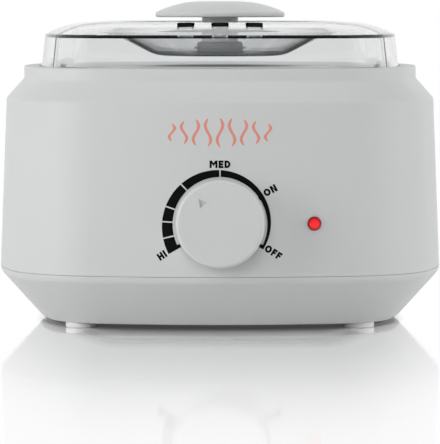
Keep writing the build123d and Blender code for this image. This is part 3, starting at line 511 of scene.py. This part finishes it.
bowl_steps = 16
slant_share = 1.45
f_arm = 0.88
e_arm = 0.92
m_foot = 0.25
d_bowl = 0.62
capital_height = 0.0030
capital_stroke = 0.00084
capital_gap = 0.00042
capital_widths = {"M": 1.05, "E": 0.66, "D": 0.78, "O": 0.92, "N": 0.78, "F": 0.62, "H": 0.76, "I": 0.207}


def word_outlines(text, angle, radius, tilt):
    """A word centred at an angle and radius round the scale, its line tilted anticlockwise."""
    outlines = []
    x = 0.0
    for letter in text:
        width = capital_widths[letter] * capital_height
        for outline in capital(letter, width, capital_height, capital_stroke):
            outlines.append([(px + x, pz) for px, pz in outline])
        x += width + capital_gap
    middle_x, middle_z = (x - capital_gap) / 2, capital_height / 2
    centre_x, centre_z = on_dial(angle, radius)
    across, up = cos(radians(tilt)), sin(radians(tilt))
    return [[(centre_x + (px - middle_x) * across - (pz - middle_z) * up,
              centre_z + (px - middle_x) * up + (pz - middle_z) * across) for px, pz in outline]
            for outline in outlines]


black_ink = finish_material("black_ink", moulded_skin, {
    "Colour": (0.004, 0.004, 0.005, 1.0), "Drift": 0.3, "Roughness": 0.55, "Gloss Spread": 0.15,
    "Grain Size": 0.0003, "Grain Depth": 0.000004}, IOR=1.45, Specular_IOR_Level=0.1)
print_on_wall("dial_band", band_outlines(), black_ink)
words = {"MED": (90.0, 0.0241, 0.0), "ON": (34.1, 0.0242, 29.0), "OFF": (-27.5, 0.0240, -33.0),
         "HI": (208.1, 0.0264, 34.0)}
for text, (angle, radius, tilt) in words.items():
    print_on_wall(f"word_{text.lower()}", word_outlines(text, angle, radius, tilt), black_ink)


# ---------------------------------------------------------------- printed ornament
# A row of thin coral steam lines above the dial, tallest in the middle. They are pad-printed on the
# same wall, as a film of ink that follows its curve.
ornament_low = 0.0748
steam_lines = 9
steam_spacing = 0.0048
steam_tall = 0.0118
steam_short = 0.0072
steam_sway = 0.0011
steam_stroke = 0.00105
steam_tip = 0.00008
steam_taper = 6.0
steam_steps = 18


def make_steam_lines():
    """Geometry nodes: a row of upright wavy strips that thin out at both ends, laid on a wall."""
    number = "NodeSocketFloat"
    tree, given, result = named_group("steam_lines", {
        "Wall": "NodeSocketObject", "Ink": "NodeSocketMaterial", "Lines": "NodeSocketInt",
        "Steps": "NodeSocketInt", "Low": number, "Spacing": number, "Tall": number, "Short": number,
        "Sway": number, "Stroke": number, "Tip": number, "Taper": number, "Film": number},
        {"Geometry": "NodeSocketGeometry"}, "GeometryNodeTree")
    given = given.outputs
    points = reckon(tree, "ADD", given["Steps"], 1.0)
    strip = node(tree, "GeometryNodeMeshGrid", {
        "Size X": 2.0, "Size Y": 1.0, "Vertices X": 2, "Vertices Y": points})
    strip_place = node(tree, "GeometryNodeCaptureAttribute", {"Geometry": strip.outputs["Mesh"]})
    strip_place.capture_items.new("VECTOR", "Place")
    tree.links.new(node(tree, "GeometryNodeInputPosition", {}).outputs[0], strip_place.inputs["Place"])
    row = node(tree, "GeometryNodeMeshLine", {"Count": given["Lines"]})
    row_place = node(tree, "GeometryNodeCaptureAttribute", {"Geometry": row.outputs["Mesh"]})
    row_place.capture_items.new("FLOAT", "Line")
    tree.links.new(node(tree, "GeometryNodeInputIndex", {}).outputs[0], row_place.inputs["Line"])
    strips = node(tree, "GeometryNodeInstanceOnPoints", {
        "Points": row_place.outputs["Geometry"], "Instance": strip_place.outputs["Geometry"]})
    plain = node(tree, "GeometryNodeRealizeInstances", {"Geometry": strips.outputs["Instances"]})

    line = row_place.outputs["Line"]
    place = node(tree, "ShaderNodeSeparateXYZ", {"Vector": strip_place.outputs["Place"]}).outputs
    rise = reckon(tree, "ADD", place["Y"], 0.5)
    middle = reckon(tree, "DIVIDE", reckon(tree, "SUBTRACT", given["Lines"], 1.0), 2.0)
    offset = reckon(tree, "SUBTRACT", line, middle)
    share = reckon(tree, "DIVIDE", reckon(tree, "ABSOLUTE", offset), middle)
    most = reckon(tree, "SUBTRACT", given["Tall"], given["Short"])
    shorter = times(tree, most, times(tree, share, share))
    height = times(tree, reckon(tree, "SUBTRACT", given["Tall"], shorter), rise)
    side = reckon(tree, "COSINE", times(tree, reckon(tree, "ADD", line, 1.0), pi))
    sway = times(tree, times(tree, side, given["Sway"]), reckon(tree, "SINE", times(tree, rise, 2 * pi)))
    from_middle = reckon(tree, "ABSOLUTE", reckon(tree, "SUBTRACT", times(tree, rise, 2.0), 1.0))
    full = reckon(tree, "SUBTRACT", 1.0, reckon(tree, "POWER", from_middle, given["Taper"]))
    half = reckon(tree, "ADD", times(tree, times(tree, given["Stroke"], 0.5), full), given["Tip"])
    across = reckon(tree, "ADD", times(tree, offset, given["Spacing"]), sway)
    before = node(tree, "ShaderNodeCombineXYZ", {
        "X": reckon(tree, "ADD", across, times(tree, place["X"], half)), "Y": before_wall,
        "Z": reckon(tree, "ADD", reckon(tree, "ADD", given["Low"], times(tree, shorter, 0.5)), height)})
    wall_mesh = node(tree, "GeometryNodeObjectInfo", {"Object": given["Wall"]}, transform_space="ORIGINAL")
    hit = node(tree, "GeometryNodeRaycast", {
        "Target Geometry": wall_mesh.outputs["Geometry"], "Source Position": before.outputs[0],
        "Ray Direction": (0.0, 1.0, 0.0), "Ray Length": 1.0}).outputs["Hit Position"]
    film = node(tree, "ShaderNodeCombineXYZ", {"Y": given["Film"]}).outputs[0]
    laid = node(tree, "GeometryNodeSetPosition", {
        "Geometry": plain.outputs[0], "Position": vector(tree, "SUBTRACT", hit, film)})
    inked = node(tree, "GeometryNodeSetMaterial", {"Geometry": laid.outputs[0], "Material": given["Ink"]})
    tree.links.new(inked.outputs[0], result.inputs["Geometry"])
    return tree


def grow(name, tree, settings):
    """Plain mesh piece made by a geometry node tree with these settings."""
    empty = bpy.data.meshes.new("empty")
    piece = bpy.data.objects.new(name, empty)
    bpy.context.scene.collection.objects.link(piece)
    maker = piece.modifiers.new(tree.name, "NODES")
    maker.node_group = tree
    for socket in tree.interface.items_tree:
        if socket.in_out == "INPUT":
            maker[socket.identifier] = settings[socket.name]
    grown = piece.evaluated_get(bpy.context.evaluated_depsgraph_get())
    mesh = bpy.data.meshes.new_from_object(grown)
    piece.modifiers.clear()
    piece.data = mesh
    mesh.name = name
    bpy.data.meshes.remove(empty)
    return piece


coral_ink = finish_material("coral_ink", moulded_skin, {
    "Colour": (0.85, 0.32, 0.26, 1.0), "Drift": 0.08, "Roughness": 0.5, "Gloss Spread": 0.1,
    "Grain Size": 0.0003, "Grain Depth": 0.000004}, IOR=1.45)
steam_ornament = grow("steam_ornament", make_steam_lines(), {
    "Wall": cad["upper_housing"], "Ink": coral_ink, "Lines": steam_lines, "Steps": steam_steps,
    "Low": ornament_low, "Spacing": steam_spacing, "Tall": steam_tall, "Short": steam_short,
    "Sway": steam_sway, "Stroke": steam_stroke, "Tip": steam_tip, "Taper": steam_taper,
    "Film": ink_height})
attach(steam_ornament, "housing")


# ---------------------------------------------------------------- dial
# Light grey moulded knob pushed on the thermostat's spindle. Its pointer is a triangle sunk into the
# face, and its floor is painted a little darker as shade.
def off_axis(tree, place, axis):
    """Distance from a line that runs front to back through a place."""
    return length(tree, vector(tree, "MULTIPLY", vector(tree, "SUBTRACT", place, axis), (1.0, 0.0, 1.0)))


pointer_reach = 0.0138
pointer_blur = 0.0002
pointer_floor = 0.0006
painted_pointer_shade = 0.86
dial_axis = (0.0, 0.0, 0.04485)
dial_settings = {
    "Colour": (0.72, 0.735, 0.73, 1.0), "Drift": 0.03, "Roughness": 0.36, "Gloss Spread": 0.1,
    "Grain Size": 0.0004, "Grain Depth": 0.000008}
dial_plastic = finish_material("dial_plastic", moulded_skin, dial_settings, IOR=1.5)
tree = dial_plastic.node_tree
shader = tree.nodes["Principled BSDF"]
place = object_place(tree)
dial_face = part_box("control_knob")[0].y
# Painted shade: the dial's colour is darkened where the face is sunk within the pointer's reach.
depth = node(tree, "ShaderNodeSeparateXYZ", {"Vector": place}).outputs["Y"]
sunk = ramp(tree, depth, dial_face + 0.3 * pointer_floor, dial_face + 0.9 * pointer_floor, 0.0, 1.0)
within = ramp(tree, off_axis(tree, place, dial_axis), pointer_reach - pointer_blur, pointer_reach, 1.0, 0.0)
shade = ramp(tree, times(tree, sunk, within), 0.0, 1.0, 1.0, painted_pointer_shade)
plain = shader.inputs["Base Color"].links[0].from_socket
tree.links.new(shaded(tree, plain, shade), shader.inputs["Base Color"])
dress(dial_plastic, "control_knob")


# ---------------------------------------------------------------- lamp
# Domed lens of clear red acrylic, with a flange behind the wall, and a glass neon bulb in a black phenolic
# sleeve behind it. The bulb's light is painted into the lens as a glow, with painted shade towards the lens's
# edge.
def blend(tree, share, first, second):
    """Mix of two colours."""
    return node(tree, "ShaderNodeMix", {0: share, 6: first, 7: second}, data_type="RGBA").outputs[2]


def make_lens_skin():
    """Group: red lens with a painted glow in its middle and painted shade towards its edge."""
    group, given, result = named_group("lens_skin", {
        "Centre": "NodeSocketVector", "Glow Radius": "NodeSocketFloat", "Edge Radius": "NodeSocketFloat"}, {
        "Colour": "NodeSocketColor", "Glow": "NodeSocketColor", "Roughness": "NodeSocketFloat"})
    given = given.outputs
    place = object_place(group)
    radius = off_axis(group, place, given["Centre"])
    # Painted glow of the bulb, mottled by streaks, and painted shade: bright in the middle, darker towards
    # the edge.
    inner = ramp(group, radius, given["Glow Radius"], given["Edge Radius"], 1.0, 0.0)
    streaks = noise(group, place, streak_scale, 2.0)
    streaked = times(group, inner, about_middle(group, streaks, streak_spread, 1.0))
    put_out(group, result, Colour=blend(group, inner, lens_edge_painted_shade, lens_middle),
            Glow=blend(group, streaked, grey(0.0), painted_lens_glow),
            Roughness=about_middle(group, streaks, lens_gloss_spread, lens_roughness))
    return group


# Lens colours: painted shade at the edge, the red of the middle, and the painted glow of the bulb.
lens_edge_painted_shade = (0.32, 0.004, 0.010, 1.0)
lens_middle = (0.80, 0.010, 0.015, 1.0)
painted_lens_glow = (0.48, 0.014, 0.013, 1.0)
lens_roughness = 0.12
lens_gloss_spread = 0.06
streak_scale = 900.0
streak_spread = 1.1
glow_radius = 0.0012
edge_radius = 0.0027
lamp_place = (0.0378, 0.0, 0.04415)
lens_plastic = bpy.data.materials.new("lens_plastic")
lens_plastic.use_nodes = True
tree = lens_plastic.node_tree
shader = tree.nodes["Principled BSDF"]
skin = node(tree, "ShaderNodeGroup", {}, node_tree=make_lens_skin())
skin.inputs["Centre"].default_value = lamp_place
skin.inputs["Glow Radius"].default_value = glow_radius
skin.inputs["Edge Radius"].default_value = edge_radius
tree.links.new(skin.outputs["Colour"], shader.inputs["Base Color"])
tree.links.new(skin.outputs["Glow"], shader.inputs["Emission Color"])
tree.links.new(skin.outputs["Roughness"], shader.inputs["Roughness"])
shader.inputs["Emission Strength"].default_value = 1.0
shader.inputs["IOR"].default_value = 1.5
dress(lens_plastic, "indicator_lens")
phenolic = finish_material("black_phenolic", moulded_skin, {
    "Colour": (0.012, 0.012, 0.012, 1.0), "Drift": 0.3, "Roughness": 0.45, "Gloss Spread": 0.2,
    "Grain Size": 0.0004, "Grain Depth": 0.00002}, IOR=1.5)
dress(phenolic, "lamp_holder", "thermostat")
bulb_glass = finish_material("bulb_glass", moulded_skin, {
    "Colour": (1.0, 0.85, 0.75, 1.0), "Drift": 0.05, "Roughness": 0.03, "Gloss Spread": 0.02,
    "Grain Size": 0.002, "Grain Depth": 0.000002}, IOR=1.5, Transmission_Weight=1.0)
dress(bulb_glass, "lamp_bulb")


# ---------------------------------------------------------------- well, heater and shield
# Spun aluminium well on a rubber seal, gripped by a blued spring ring; a heat-tinted steel heater band
# round it, a plated fuse under a spring clip, and a galvanised shield below.
def make_spun_skin():
    """Group: metal turned about the upright axis, with fine rings."""
    number = "NodeSocketFloat"
    group, given, result = named_group("spun_skin", {
        "Colour": "NodeSocketColor", "Drift": number, "Roughness": number, "Gloss Spread": number,
        "Ring Width": number, "Ring Depth": number}, {
        "Colour": "NodeSocketColor", "Roughness": number, "Normal": "NodeSocketVector"})
    given = given.outputs
    place = object_place(group)
    radius = length(group, vector(group, "MULTIPLY", place, (1.0, 1.0, 0.0)))
    height = node(group, "ShaderNodeSeparateXYZ", {"Vector": place}).outputs["Z"]
    ring_place = node(group, "ShaderNodeCombineXYZ", {"X": radius, "Y": height}).outputs[0]
    ring = noise(group, ring_place, per_metre(group, given["Ring Width"]), 3.0)
    shade = about_middle(group, noise(group, place, tarnish_scale, 3.0), given["Drift"], 1.0)
    put_out(group, result, Colour=shaded(group, given["Colour"], shade),
            Roughness=about_middle(group, ring, given["Gloss Spread"], given["Roughness"]),
            Normal=bent_normal(group, given["Ring Depth"], ring))
    return group


tarnish_scale = 30.0
spun_skin = make_spun_skin()
well_aluminium = finish_material("well_aluminium", spun_skin, {
    "Colour": (0.72, 0.73, 0.74, 1.0), "Drift": 0.1, "Roughness": 0.38, "Gloss Spread": 0.2,
    "Ring Width": 0.0006, "Ring Depth": 0.000012}, Metallic=1.0)
dress(well_aluminium, "heating_well")
seal_rubber = finish_material("seal_rubber", moulded_skin, {
    "Colour": (0.02, 0.02, 0.02, 1.0), "Drift": 0.3, "Roughness": 0.65, "Gloss Spread": 0.15,
    "Grain Size": 0.0005, "Grain Depth": 0.00002}, IOR=1.5)
dress(seal_rubber, "well_gasket", "gland_seal")
blued_steel = finish_material("blued_spring_steel", plated_skin, {
    "Colour": (0.10, 0.12, 0.17, 1.0), "Drift": 0.3, "Roughness": 0.35, "Gloss Spread": 0.15,
    "Spangle Size": 0.003, "Scratch Depth": 0.000005}, Metallic=1.0)
dress(blued_steel, "retaining_ring", "fuse_clip")
heater_steel = finish_material("heat_tinted_steel", plated_skin, {
    "Colour": (0.50, 0.43, 0.33, 1.0), "Drift": 0.3, "Roughness": 0.38, "Gloss Spread": 0.15,
    "Spangle Size": 0.012, "Scratch Depth": 0.000006}, Metallic=1.0)
dress(heater_steel, "band_heater")
fuse_plating = finish_material("plated_fuse_can", plated_skin, {
    "Colour": (0.66, 0.62, 0.52, 1.0), "Drift": 0.1, "Roughness": 0.28, "Gloss Spread": 0.1,
    "Spangle Size": 0.002, "Scratch Depth": 0.000003}, Metallic=1.0)
dress(fuse_plating, "thermal_fuse")
galvanised = finish_material("galvanised_sheet", plated_skin, {
    "Colour": (0.58, 0.60, 0.61, 1.0), "Drift": 0.35, "Roughness": 0.42, "Gloss Spread": 0.25,
    "Spangle Size": 0.007, "Scratch Depth": 0.000006}, Metallic=1.0)
dress(galvanised, "heat_shield")


# ---------------------------------------------------------------- gland, terminal block and leads
# Light grey nylon gland at the back, a natural nylon terminal block on the tray, and silicone or
# braided leads between the block, thermostat, fuse, heater and lamp.
gland_nylon = finish_material("gland_nylon", moulded_skin, {
    "Colour": (0.66, 0.67, 0.67, 1.0), "Drift": 0.05, "Roughness": 0.5, "Gloss Spread": 0.1,
    "Grain Size": 0.0005, "Grain Depth": 0.000015}, IOR=1.53)
dress(gland_nylon, "gland_body", "gland_locknut", "gland_dome_nut")
block_nylon = finish_material("natural_nylon", moulded_skin, {
    "Colour": (0.80, 0.77, 0.68, 1.0), "Drift": 0.06, "Roughness": 0.45, "Gloss Spread": 0.1,
    "Grain Size": 0.0006, "Grain Depth": 0.00001}, IOR=1.53)
dress(block_nylon, "terminal_block")
brown_silicone = finish_material("brown_silicone", moulded_skin, {
    "Colour": (0.10, 0.035, 0.015, 1.0), "Drift": 0.2, "Roughness": 0.5, "Gloss Spread": 0.1,
    "Grain Size": 0.0008, "Grain Depth": 0.00001}, IOR=1.43)
dress(brown_silicone, "mains_leads")
blue_silicone = finish_material("blue_silicone", moulded_skin, {
    "Colour": (0.02, 0.06, 0.26, 1.0), "Drift": 0.2, "Roughness": 0.5, "Gloss Spread": 0.1,
    "Grain Size": 0.0008, "Grain Depth": 0.00001}, IOR=1.43)
dress(blue_silicone, "lamp_leads")
glass_braid = finish_material("glass_braid", moulded_skin, {
    "Colour": (0.72, 0.70, 0.62, 1.0), "Drift": 0.15, "Roughness": 0.8, "Gloss Spread": 0.1,
    "Grain Size": 0.0007, "Grain Depth": 0.0001}, IOR=1.5)
dress(glass_braid, "heater_leads")


# ---------------------------------------------------------------- pot and bail
# Spun aluminium pot with a flat lip and a rolled edge. Its bright wire bail turns on two headed studs at
# the sides of the lip and lies round the back.
pot_aluminium = finish_material("pot_aluminium", spun_skin, {
    "Colour": (0.78, 0.79, 0.80, 1.0), "Drift": 0.06, "Roughness": 0.30, "Gloss Spread": 0.15,
    "Ring Width": 0.0005, "Ring Depth": 0.000008}, Metallic=1.0)
dress(pot_aluminium, "wax_pot")
bright_wire = finish_material("bright_wire", plated_skin, {
    "Colour": (0.70, 0.71, 0.72, 1.0), "Drift": 0.08, "Roughness": 0.22, "Gloss Spread": 0.08,
    "Spangle Size": 0.002, "Scratch Depth": 0.000003}, Metallic=1.0)
dress(bright_wire, "bail")


# ---------------------------------------------------------------- lid
# Clear moulded polystyrene shell with a domed light grey knob and stem on a darker collar, held by a
# screw and washer under the raised seat in the middle of the dish.
clear_tint = (0.885, 0.895, 0.895, 1.0)
shadow_tint = (0.9, 0.92, 0.92, 1.0)
haze_scale = 60.0
haze_gloss = 0.03
flow_scale = 40.0
flow_depth = 0.00003
clear_plastic = bpy.data.materials.new("clear_polystyrene")
clear_plastic.use_nodes = True
tree = clear_plastic.node_tree
shader = tree.nodes["Principled BSDF"]
shader.inputs["Base Color"].default_value = clear_tint
shader.inputs["IOR"].default_value = 1.55
shader.inputs["Transmission Weight"].default_value = 1.0
place = object_place(tree)
haze = noise(tree, place, haze_scale, 3.0)
tree.links.new(about_middle(tree, haze, haze_gloss, haze_gloss), shader.inputs["Roughness"])
flow = noise(tree, place, flow_scale, 1.0)
tree.links.new(bent_normal(tree, flow_depth, flow), shader.inputs["Normal"])
path = node(tree, "ShaderNodeLightPath", {}).outputs
light = greater(tree, path["Is Shadow Ray"], path["Is Diffuse Ray"])
bare = node(tree, "ShaderNodeBsdfTransparent", {"Color": shadow_tint})
lit = node(tree, "ShaderNodeMixShader", {0: light, 1: shader.outputs[0], 2: bare.outputs[0]})
tree.links.new(lit.outputs[0], tree.nodes["Material Output"].inputs["Surface"])
dress(clear_plastic, "lid_shell")

knob_plastic = finish_material("knob_plastic", moulded_skin, dial_settings, IOR=1.5)
dress(knob_plastic, "lid_knob_cap", "lid_knob_stem")
collar_plastic = finish_material("collar_plastic", moulded_skin, {
    "Colour": (0.31, 0.315, 0.32, 1.0), "Drift": 0.05, "Roughness": 0.4, "Gloss Spread": 0.1,
    "Grain Size": 0.0004, "Grain Depth": 0.000008}, IOR=1.5)
dress(collar_plastic, "lid_knob_collar")
